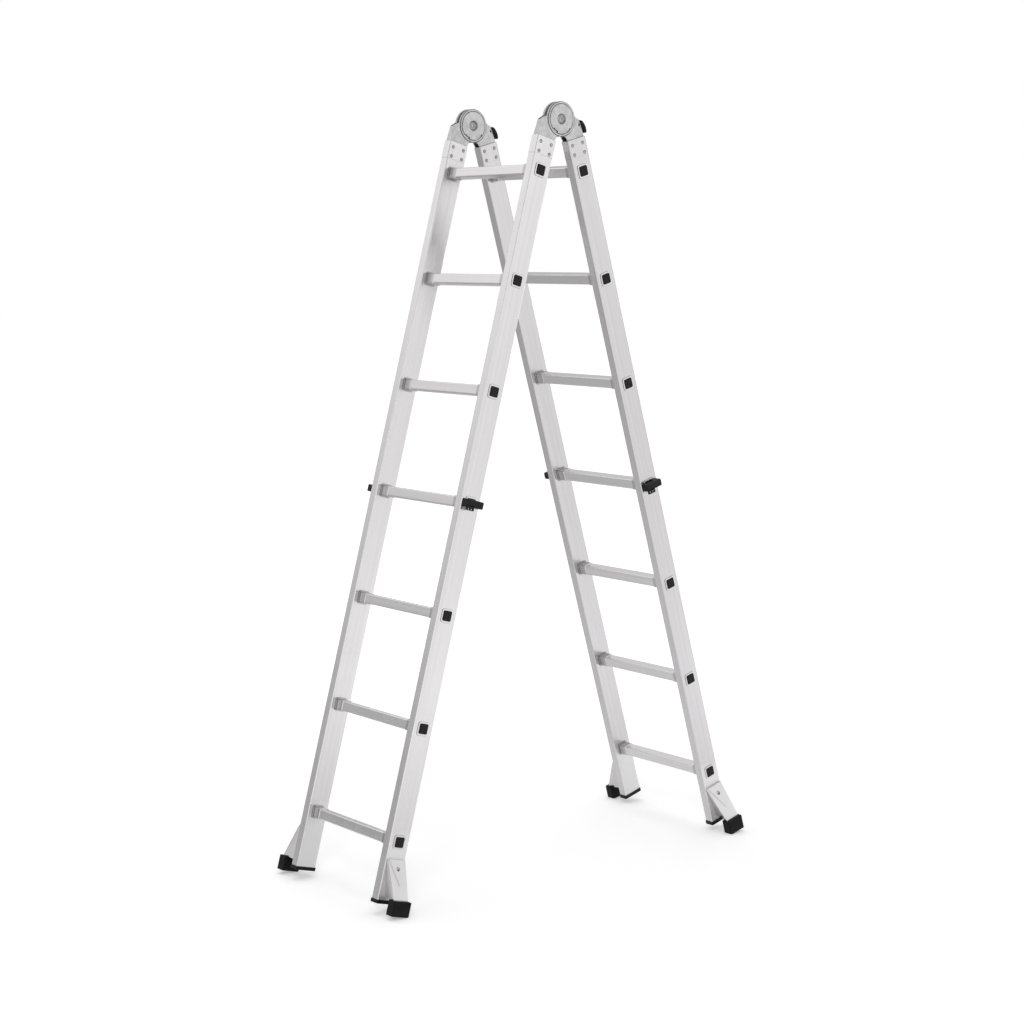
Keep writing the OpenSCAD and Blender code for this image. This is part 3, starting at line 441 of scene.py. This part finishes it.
for leg in LEGS:
    body = leg + "_leg"
    for side in SIDES:
        dress(f"{leg}_{side}_stile", STILE_METAL[leg])
        soften(f"{leg}_{side}_foot_plate", body, STILE_METAL[leg], width=0.6 * MM)
        soften(f"{leg}_{side}_shoe", body, RUBBER, width=1.2 * MM, steps=3)
        soften(f"{leg}_{side}_lock_housing", body, NYLON, width=0.8 * MM)
        soften(f"{leg}_{side}_lock_bolt", f"{leg}_{side}_bolt", NYLON, width=0.6 * MM)
    for k in RUNGS:
        soften(f"{leg}_rung_{k}", body, RUNG_METAL, width=0.4 * MM, drawn=True)
    soften(f"{leg}_rung_plugs", body, NYLON, width=0.6 * MM)
    soften(f"{leg}_stile_end_caps", body, NYLON, width=0.8 * MM)
    dress(f"{leg}_foot_rivets", SLOPE_SHADED_ZINC)
    dress(f"{leg}_hinge_rivets", SLOPE_SHADED_ZINC)
    for side, hand in zip(SIDES, HANDS):
        coil(f"{leg}_{side}_lock_coil", f"{leg}_lock_springs", body, hand)

for side in SIDES:
    soften(f"{side}_hinge_front_half", "front_leg", ZINC, width=0.5 * MM)
    soften(f"{side}_hinge_rear_half", "rear_leg", ZINC, width=0.5 * MM)
    soften(f"{side}_hinge_covers", "front_leg", SLOPE_SHADED_ZINC, width=0.4 * MM)
    soften(f"{side}_release_lever", f"{side}_lever", NYLON, width=0.6 * MM)
    dress(f"{side}_hinge_pivot", SLOPE_SHADED_ZINC)
    dress(f"{side}_lock_disc", ZINC)
    dress(f"{side}_pawl", ZINC)
    coil(f"{side}_pawl_coil", f"{side}_pawl_spring", "rear_leg")


# Studio

def studio_floor():
    """A pale seamless floor that keeps the soft shadows under the feet."""
    material, tree = new_material("pale_floor_paint")
    place = add(tree, "ShaderNodeTexCoord").outputs["Object"]
    cloud = add(tree, "ShaderNodeTexNoise", {"Vector": place, "Scale": 0.6, "Detail": 2.0})
    tone = add(tree, "ShaderNodeValToRGB", {"Fac": cloud.outputs["Fac"]})
    tone.color_ramp.elements[0].color = linear("#F7F7F7")
    tone.color_ramp.elements[1].color = linear("#FBFBFB")
    path = add(tree, "ShaderNodeLightPath")
    across = add(tree, "ShaderNodeVectorMath", {0: place, 1: BRIGHT_SIDE}, operation="DOT_PRODUCT")
    # Its image in the metal is dimmer to the back left
    dimmer = add(tree, "ShaderNodeMapRange", {
        "Value": across.outputs["Value"],
        "From Min": -1.7, "From Max": -0.7, "To Min": 0.2, "To Max": 0.0})
    dimmed = add(tree, "ShaderNodeMath", {
        0: dimmer.outputs[0], 1: path.outputs["Is Glossy Ray"]}, operation="MULTIPLY")
    shown = add(tree, "ShaderNodeMix", {
        FACTOR: dimmed.outputs[0], COLOUR_A: tone.outputs["Color"], COLOUR_B: linear("#000000")},
        data_type="RGBA")
    paint = add(tree, "ShaderNodeBsdfDiffuse", {"Color": shown.outputs[MIXED_COLOUR]})
    # The floor runs into the white backdrop away from the feet
    away = add(tree, "ShaderNodeVectorMath", {0: place}, operation="LENGTH")
    fade = add(tree, "ShaderNodeMapRange", {
        "Value": away.outputs["Value"],
        "From Min": 0.7, "From Max": 2.6, "To Min": 0.33, "To Max": 0.62})
    # Its image in the metal is brighter to the front right
    image = add(tree, "ShaderNodeMapRange", {
        "Value": across.outputs["Value"],
        "From Min": -0.5, "From Max": 2.2, "To Min": 0.06, "To Max": 0.5})
    # Far off on the far side it is bright too, which shows where one stile mirrors another
    behind = add(tree, "ShaderNodeVectorMath", {0: place, 1: NEAR_SIDE}, operation="DOT_PRODUCT")
    distant = add(tree, "ShaderNodeMapRange", {
        "Value": behind.outputs["Value"],
        "From Min": -7.0, "From Max": -4.0, "To Min": 1.1, "To Max": 0.0})
    bright = add(tree, "ShaderNodeMath", {
        0: image.outputs[0], 1: distant.outputs[0]}, operation="ADD")
    in_metal = add(tree, "ShaderNodeMath", {
        0: bright.outputs[0], 1: path.outputs["Is Glossy Ray"]}, operation="MULTIPLY")
    shine = add(tree, "ShaderNodeMix", {
        FACTOR: path.outputs["Is Camera Ray"], VALUE_A: in_metal.outputs[0], VALUE_B: fade.outputs[0]},
        data_type="FLOAT")
    glow = add(tree, "ShaderNodeEmission", {
        "Color": linear("#FFFFFF"), "Strength": shine.outputs[0]})
    mixed = add(tree, "ShaderNodeAddShader", {0: paint.outputs[0], 1: glow.outputs[0]})
    add(tree, "ShaderNodeOutputMaterial", {"Surface": mixed.outputs[0]})
    mesh = bpy.data.meshes.new("floor")
    bm = bmesh.new()
    bmesh.ops.create_grid(bm, x_segments=1, y_segments=1, size=FLOOR_REACH)
    bm.to_mesh(mesh)
    bm.free()
    mesh.materials.append(material)
    floor = bpy.data.objects.new("floor", mesh)
    bpy.context.collection.objects.link(floor)


def area_light(name, place, target, size, watts):
    """A soft square light that lights the object but isn't mirrored in its metal."""
    lamp = bpy.data.lights.new(name, "AREA")
    lamp.shape = "SQUARE"
    lamp.size = size
    lamp.energy = watts
    thing = bpy.data.objects.new(name, lamp)
    thing.location = place
    aim = Vector(target) - Vector(place)
    thing.rotation_euler = aim.to_track_quat("-Z", "Y").to_euler()
    thing.visible_glossy = False
    bpy.context.collection.objects.link(thing)


def studio_world():
    """White surroundings as the camera sees them, softer as a light. In the metal they are
    mirrored as a bright wall to the front right and a dim one to the back left that brightens
    upwards, which tells the two faces of a stile apart."""
    world = bpy.data.worlds.new("studio")
    bpy.context.scene.world = world
    world.use_nodes = True
    tree = world.node_tree
    tree.nodes.clear()
    path = add(tree, "ShaderNodeLightPath")
    seen = add(tree, "ShaderNodeMath", {
        0: path.outputs["Is Camera Ray"], 1: path.outputs["Is Transmission Ray"]},
        operation="MAXIMUM")
    soft = add(tree, "ShaderNodeBackground", {"Color": linear("#F6F6F7"), "Strength": 0.55})
    white = add(tree, "ShaderNodeBackground", {"Color": linear("#FFFFFF"), "Strength": 1.0})
    way = add(tree, "ShaderNodeTexCoord").outputs["Generated"]
    rise = add(tree, "ShaderNodeSeparateXYZ", {"Vector": way}).outputs["Z"]
    toward = add(tree, "ShaderNodeVectorMath", {0: way, 1: BRIGHT_SIDE}, operation="DOT_PRODUCT")
    dim = add(tree, "ShaderNodeMapRange", {
        "Value": rise, "From Min": 0.06, "From Max": 0.32, "To Min": 0.42, "To Max": 1.1})
    bright = add(tree, "ShaderNodeMapRange", {
        "Value": rise, "From Min": 0.1, "From Max": 0.6, "To Min": 1.12, "To Max": 0.9})
    turned = add(tree, "ShaderNodeMapRange", {
        "Value": toward.outputs["Value"], "From Min": -0.5, "From Max": 0.5})
    wall = add(tree, "ShaderNodeMix", {
        FACTOR: turned.outputs[0], VALUE_A: dim.outputs[0], VALUE_B: bright.outputs[0]},
        data_type="FLOAT")
    # A low window on the near side draws bright lines down the round corners
    near = add(tree, "ShaderNodeVectorMath", {0: way, 1: NEAR_SIDE}, operation="DOT_PRODUCT")
    facing = add(tree, "ShaderNodeMapRange", {
        "Value": near.outputs["Value"], "From Min": 0.55, "From Max": 0.85})
    window = add(tree, "ShaderNodeMapRange", {
        "Value": rise, "From Min": 0.24, "From Max": 0.38, "To Min": 1.3, "To Max": 0.4})
    room = add(tree, "ShaderNodeMix", {
        FACTOR: facing.outputs[0], VALUE_A: wall.outputs[0], VALUE_B: window.outputs[0]},
        data_type="FLOAT")
    # The far right of the room is dark, which shades the dishes and the tops of the rungs
    beyond = add(tree, "ShaderNodeVectorMath", {0: way, 1: FAR_SIDE}, operation="DOT_PRODUCT")
    shaded = add(tree, "ShaderNodeMapRange", {
        "Value": beyond.outputs["Value"], "From Min": 0.45, "From Max": 0.8})
    corner = add(tree, "ShaderNodeMapRange", {
        "Value": rise, "From Min": 0.1, "From Max": 0.5, "To Min": 0.2, "To Max": 0.8})
    whole = add(tree, "ShaderNodeMix", {
        FACTOR: shaded.outputs[0], VALUE_A: room.outputs[0], VALUE_B: corner.outputs[0]},
        data_type="FLOAT")
    mirrored = add(tree, "ShaderNodeBackground", {
        "Color": linear("#FFFFFF"), "Strength": whole.outputs[0]})
    unseen = add(tree, "ShaderNodeMixShader", {
        0: path.outputs["Is Glossy Ray"], 1: soft.outputs[0], 2: mirrored.outputs[0]})
    both = add(tree, "ShaderNodeMixShader", {
        0: seen.outputs[0], 1: unseen.outputs[0], 2: white.outputs[0]})
    add(tree, "ShaderNodeOutputWorld", {"Surface": both.outputs[0]})


def photo_camera():
    """The photo's viewpoint, fitted to the rung ends, the stile edges and the feet."""
    camera = bpy.data.cameras.new("photo_camera")
    camera.sensor_width = FILM_WIDTH
    camera.lens = FILM_WIDTH * FOCAL_PIXELS / PICTURE_PIXELS
    camera.clip_end = CAMERA_SIGHT
    yaw, pitch, roll = (math.radians(angle) for angle in CAMERA_TURN)
    level = Vector((math.sin(yaw), math.cos(yaw), 0))
    ahead = level * math.cos(pitch) - Vector((0, 0, math.sin(pitch)))
    right = Vector((math.cos(yaw), -math.sin(yaw), 0))
    up = right.cross(ahead)
    turned_right = right * math.cos(roll) + up * math.sin(roll)
    turned_up = up * math.cos(roll) - right * math.sin(roll)
    place = Matrix((turned_right, turned_up, -ahead)).transposed().to_4x4()
    place.translation = Vector(CAMERA_PLACE)
    thing = bpy.data.objects.new("photo_camera", camera)
    thing.matrix_world = place
    bpy.context.collection.objects.link(thing)
    bpy.context.scene.camera = thing


studio_floor()
studio_world()
area_light("key_softbox", place=(-3.6, -3.6, 3.4), target=(0, 0, 0.9), size=1.8, watts=60)
area_light("top_softbox", place=(0.5, 1.0, 4.8), target=(0, 0, 0.5), size=3.0, watts=45)
photo_camera()
bpy.context.scene.view_settings.view_transform = "Standard"
